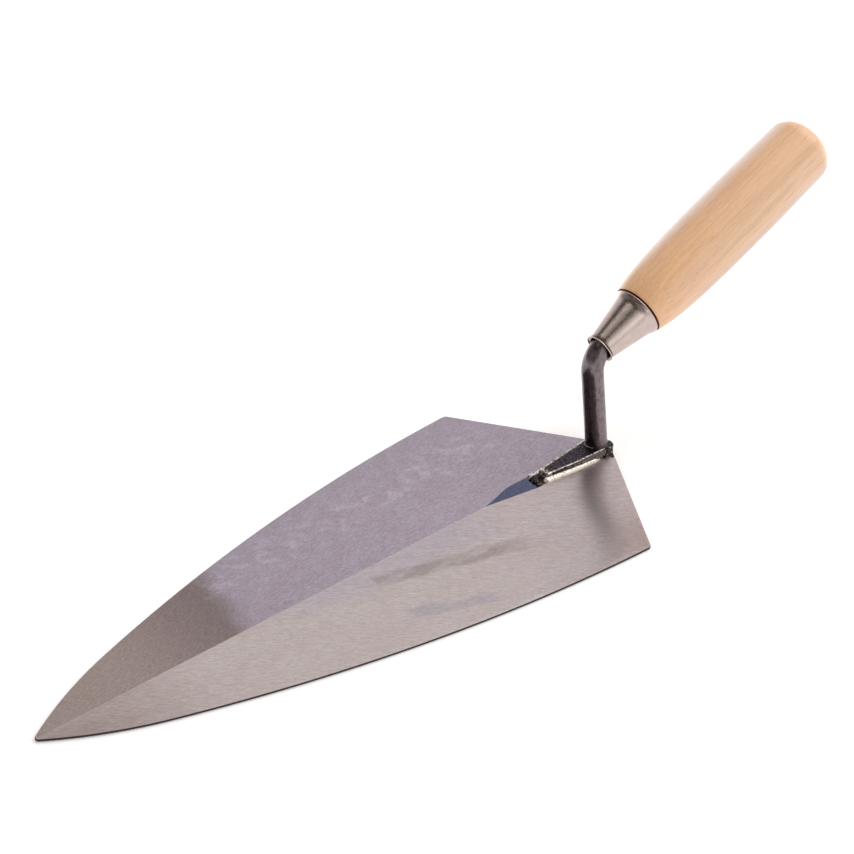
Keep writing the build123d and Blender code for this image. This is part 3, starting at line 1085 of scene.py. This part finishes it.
def wood_material():
    """Pale close-grained wood under satin varnish, its fibres running along the handle. Light is painted
    round the handle: a pale painted sheen on top of the far side, a paler painted light on the near side
    and a greyer painted shade on the underside. The joint against the ferrule is dark and has no varnish."""
    p = Paint("varnished_pale_wood", Roughness=0.45, Coat_Roughness=0.3, Sheen_Roughness=0.5,
              Sheen_Tint=(1.0, 0.90, 0.92, 1.0))
    warp = p.noise((90.0, 9.0, 7.0), HANDLE_TURN, (0, 0, 40))
    growth = p.noise((75.0, 1.9, 2.8), HANDLE_TURN, (0, 20, 0), distortion=0.3)
    fibres = p.noise((14.0, 0.42, 0.42), HANDLE_TURN, detail=4.0, roughness=0.6)
    pores = p.noise((3.4, 0.26, 0.26), HANDLE_TURN)
    place = p.handle_place()
    station = p.xyz(place)[0]
    colour = p.mix(p.ramp(station, 0.0, 60.0), srgb(242, 188, 134), srgb(236, 187, 141))
    colour = p.mix(p.ramp(warp, 0.35, 0.65, 0.0, 0.6), colour, srgb(222, 172, 128))
    # painted light round the handle: a pale sheen on top of the far side, a lighter near side, a greyer
    # shaded underside
    for towards, start, share, tone in (
        ((0.0, 0.63, 0.78), 12.0, 0.95, srgb(238, 208, 192)),
        ((0.0, -0.98, 0.17), 9.5, 0.5, srgb(222, 190, 164)),
        ((0.0, -0.77, -0.64), 11.5, 0.9, srgb(190, 156, 140)),
    ):
        colour = p.mix(p.ramp(p.dot(place, towards), start, 15.0, 0.0, share), colour, tone)
    for pattern, start, end, share, tone in (
        (growth, 0.50, 0.66, 0.28, srgb(198, 146, 102)),
        (fibres, 0.48, 0.70, 0.40, srgb(196, 146, 104)),
        (pores, 0.60, 0.76, 0.40, srgb(168, 116, 78)),
        (pores, 0.40, 0.26, 0.5, srgb(250, 214, 176)),
    ):
        colour = p.mix(p.ramp(pattern, start, end, 0.0, share), colour, tone)
    clean = p.ramp(station, 0.60, 0.85)
    colour = p.mix(clean, srgb(80, 34, 22), colour)
    p.set("Base Color", colour)
    p.set("Coat Weight", p.line(clean, 0.0, 1.0, 0.0, 0.6))
    p.set("Sheen Weight", p.line(clean, 0.0, 1.0, 0.0, 0.25))
    p.set("Specular IOR Level", p.line(clean, 0.0, 1.0, 0.1, 0.5))
    p.set("Normal", p.bump(fibres, 0.03, 0.3))
    return p.material


# ------------------------------------------------------------------ room


def direction(azimuth, elevation):
    """Unit vector towards an azimuth (0 is towards -y, -90 towards -x) and elevation, in degrees."""
    a, e = math.radians(azimuth), math.radians(elevation)
    return Vector((math.sin(a) * math.cos(e), -math.cos(a) * math.cos(e), math.sin(e)))


def add_floor():
    """A white floor just under the trowel, which glows a little, and more towards the back."""
    mesh = bpy.data.meshes.new("floor")
    size = FLOOR_HALF_SIZE
    corners = [(-size, -size, 0), (size, -size, 0), (size, size, 0), (-size, size, 0)]
    mesh.from_pydata(corners, [], [(0, 1, 2, 3)])
    floor = bpy.data.objects.new("floor", mesh)
    bpy.context.scene.collection.objects.link(floor)
    floor.location.z = CAD_BOX[0].z - FLOOR_GAP
    p = Paint("white_floor", Roughness=0.9, Base_Color=(0.9, 0.9, 0.9, 1.0))
    p.shader.inputs["Emission Color"].default_value = (1.0, 1.0, 1.0, 1.0)
    back = p.line(p.dot(p.place, direction(BACK_AZIMUTH, 0)), 150.0, 450.0)
    p.set("Emission Strength", p.line(back, 0.0, 1.0, FLOOR_GLOW, FLOOR_BACK_GLOW))
    mesh.materials.append(p.material)


def add_key_light():
    """A large square softbox that faces the trowel from the heel side."""
    light = bpy.data.lights.new("key", "AREA")
    light.size = KEY_SIZE
    light.energy = KEY_POWER
    holder = bpy.data.objects.new("key", light)
    back = direction(KEY_AZIMUTH, KEY_ELEVATION)
    holder.location = Vector(put([KEY_TARGET])[0]) + back * KEY_DISTANCE
    holder.rotation_mode = "QUATERNION"
    holder.rotation_quaternion = back.to_track_quat("Z", "Y")
    bpy.context.scene.collection.objects.link(holder)


def add_world():
    """A white room with a dark, unlit stretch behind the camera and a brighter window to its right."""
    world = bpy.data.worlds.new("studio")
    world.use_nodes = True
    bpy.context.scene.world = world
    n = Nodes(world.node_tree)
    ray = n.add("TexCoord").outputs["Generated"]
    height = n.xyz(ray)[2]
    level = n.vector_math("NORMALIZE", n.vector_math("MULTIPLY", ray, (1.0, 1.0, 0.0)))

    def above(low, high):
        """0 below one elevation and 1 above another."""
        return n.ramp(height, math.sin(math.radians(low)), math.sin(math.radians(high)))

    def near(vector, azimuth, elevation, outside, inside):
        """0 further from a direction than one angle and 1 nearer to it than another."""
        share = n.dot(vector, direction(azimuth, elevation))
        return n.ramp(share, math.cos(math.radians(outside)), math.cos(math.radians(inside)))

    def towards(azimuth, low, high):
        """0 to 1 as the cosine of the angle to an azimuth goes from low to high."""
        return n.ramp(n.dot(level, direction(azimuth, 0)), low, high)

    sides = near(level, UNLIT_AZIMUTH, 0, 84, 58)
    unlit = n.mix(above(33, 46), UNLIT_LOW, UNLIT_HIGH)
    colour = n.mix(n.times(sides, above(-1, 7)), WHITE_WALL, unlit)
    ceiling = n.mix(towards(LEFT_AZIMUTH, 0.3, 0.95), CEILING_RIGHT, CEILING_LEFT)
    ceiling = n.mix(sides, WHITE_WALL, ceiling)
    colour = n.mix(above(57, 62), colour, ceiling)
    table_edge = n.times(towards(0, 0.5, 0.7), n.ramp(height, 0.045, 0.03), n.ramp(height, 0.0, 0.01))
    colour = n.mix(table_edge, colour, TABLE_EDGE)
    back = n.times(towards(BACK_AZIMUTH, 0.6, 0.95), n.ramp(height, 0.25, 0.05))
    colour = n.mix(back, colour, BRIGHT_BACK)
    window = near(ray, WINDOW_AZIMUTH, WINDOW_ELEVATION, 17, 9)
    colour = n.mix(window, colour, WINDOW)
    n.feed(n.nodes["Background"].inputs["Color"], colour)
    n.nodes["Background"].inputs["Strength"].default_value = 1.0


def add_camera():
    """A camera at the viewing angle, aimed at the middle of the trowel."""
    data = bpy.data.cameras.new("camera")
    data.lens = CAMERA_LENS
    data.sensor_width = 36.0
    data.clip_start = 0.01
    data.clip_end = 50.0
    camera = bpy.data.objects.new("camera", data)
    back = direction(math.degrees(CAMERA_AZIMUTH), math.degrees(CAMERA_ELEVATION))
    camera.location = Vector(put([CAMERA_TARGET])[0]) + back * CAMERA_DISTANCE * MM
    camera.rotation_mode = "QUATERNION"
    camera.rotation_quaternion = back.to_track_quat("Z", "Y")
    bpy.context.scene.collection.objects.link(camera)
    bpy.context.scene.camera = camera


def build():
    """All eight pieces, each with its material."""
    blade(blade_material())
    shank(shank_material())
    ground = ground_weld_material()
    seam(-1, "near_weld_seam", "weld_seam_near", ground)
    seam(1, "far_weld_seam", "weld_seam_far", ground)
    raw = raw_weld_material()
    front_weld(raw)
    rear_weld(raw)
    ferrule(ferrule_material())
    handle(wood_material())


build()
add_world()
add_floor()
add_key_light()
add_camera()
bpy.context.scene.view_settings.view_transform = "Standard"
